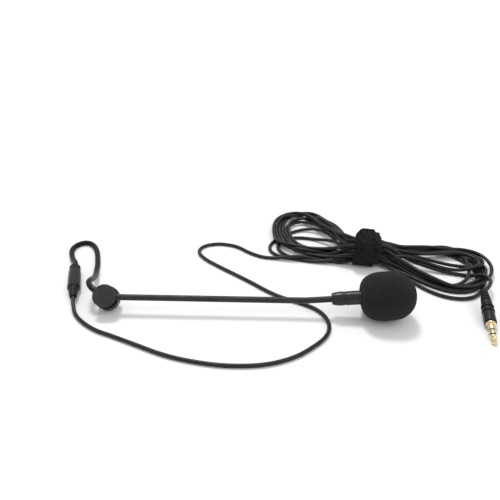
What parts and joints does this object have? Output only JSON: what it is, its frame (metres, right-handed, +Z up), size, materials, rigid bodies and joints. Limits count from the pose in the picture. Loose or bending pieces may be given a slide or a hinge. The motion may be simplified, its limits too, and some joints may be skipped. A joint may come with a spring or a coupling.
{
  "type": "attachable boom microphone",
  "caption": "Boom microphone with a magnetic clasp, a bendable boom, a foam windscreen over its capsule, and a cable with an inline connector, a tied hank and a jack plug.",
  "frame": {"origin": "on the surface that the microphone lies on, under the middle of the microphone measured without its cable", "axes": "+X along the boom from the clasp to the windscreen, +Z up"},
  "size_m": [0.2861, 0.1734, 0.0283],
  "materials": {
    "cap": "matte",
    "clasp": "satin",
    "magnet": "satin",
    "board": "satin",
    "solder_steel": "satin",
    "pad": "matte",
    "boom_rubber": "satin",
    "barrel": "satin",
    "vent": "matte",
    "grille": "satin",
    "felt": "matte",
    "capsule": "satin",
    "wire": "satin",
    "foam": "matte",
    "cord": "satin",
    "moulding": "satin",
    "tie": "matte",
    "gold": "polished",
    "insulator": "gloss"
  },
  "bodies": {
    "hub": {"hub_cap": "cap", "hub_body": "clasp", "hub_magnet": "magnet", "hub_board": "board", "core_crimp": "solder_steel", "boom_collar": "boom_rubber", "lead_grommet": "moulding", "boom_sleeve_0": "boom_rubber", "boom_core_0": "solder_steel", "lead": "cord", "connector_collar": "moulding", "connector_pin": "gold", "connector_socket": "solder_steel", "connector_body": "moulding", "connector_relief": "moulding", "cable": "cord", "cable_hank": "cord", "tie_band": "tie", "tie_tail": "tie", "plug_lead": "cord", "plug_relief": "moulding", "plug_barrel": "moulding", "plug_sleeve": "gold", "plug_insulator": "insulator", "plug_ring": "gold", "plug_tip": "gold"},
    "base_magnet": {"base_magnet": "magnet"},
    "base_clasp": {"base_cup": "clasp", "adhesive_pad": "pad"},
    "boom_link_1": {"boom_sleeve_1": "boom_rubber", "boom_core_1": "solder_steel"},
    "boom_link_2": {"boom_sleeve_2": "boom_rubber", "boom_core_2": "solder_steel"},
    "boom_link_3": {"boom_sleeve_3": "boom_rubber", "boom_core_3": "solder_steel"},
    "boom_link_4": {"boom_sleeve_4": "boom_rubber", "boom_core_4": "solder_steel"},
    "boom_link_5": {"boom_sleeve_5": "boom_rubber", "boom_core_5": "solder_steel"},
    "head": {"boom_sleeve_6": "boom_rubber", "boom_core_6": "solder_steel", "barrel_crimp": "solder_steel", "barrel_rear": "barrel", "vent_ring": "vent", "barrel_front": "barrel", "front_grille": "grille", "damping_felt": "felt", "capsule_can": "capsule", "capsule_board": "board", "capsule_wires": "wire", "capsule_boot": "moulding"},
    "windscreen": {"foam_windscreen": "foam"}
  },
  "joints": [
    {"name": "base_pull", "type": "slide", "parent": "hub", "child": "base_magnet", "axis": [0, 0.7071, -0.7071], "range_m": [0, 0.006]},
    {"name": "base_turn", "type": "hinge", "parent": "base_magnet", "child": "base_clasp", "pos_m": [-0.0845, 0.00354, 0.00633], "axis": [0, -0.7071, 0.7071], "continuous": true},
    {"name": "boom_bend_1", "type": "hinge", "parent": "hub", "child": "boom_link_1", "pos_m": [-0.0725, 0, 0.00986], "axis": [0, -0.7071, 0.7071], "range_deg": [0, 25]},
    {"name": "boom_bend_2", "type": "hinge", "parent": "boom_link_1", "child": "boom_link_2", "pos_m": [-0.052, 0, 0.00986], "axis": [0, -0.7071, -0.7071], "range_deg": [0, 25]},
    {"name": "boom_bend_3", "type": "hinge", "parent": "boom_link_2", "child": "boom_link_3", "pos_m": [-0.0315, 0, 0.00986], "axis": [0, -0.7071, 0.7071], "range_deg": [0, 25]},
    {"name": "boom_bend_4", "type": "hinge", "parent": "boom_link_3", "child": "boom_link_4", "pos_m": [-0.011, 0, 0.00986], "axis": [0, -0.7071, -0.7071], "range_deg": [0, 25]},
    {"name": "boom_bend_5", "type": "hinge", "parent": "boom_link_4", "child": "boom_link_5", "pos_m": [0.0095, 0, 0.00986], "axis": [0, -0.7071, 0.7071], "range_deg": [0, 25]},
    {"name": "boom_bend_6", "type": "hinge", "parent": "boom_link_5", "child": "head", "pos_m": [0.03, 0, 0.00986], "axis": [0, -0.7071, -0.7071], "range_deg": [0, 25]},
    {"name": "windscreen_pull", "type": "slide", "parent": "head", "child": "windscreen", "axis": [0.9958, 0, 0.0919], "range_m": [0, 0.03]}
  ],
  "couplings": [
    {"joint": "boom_bend_3", "follows": "boom_bend_1", "ratio": 1},
    {"joint": "boom_bend_5", "follows": "boom_bend_1", "ratio": 1},
    {"joint": "boom_bend_4", "follows": "boom_bend_2", "ratio": 1},
    {"joint": "boom_bend_6", "follows": "boom_bend_2", "ratio": 1}
  ]
}
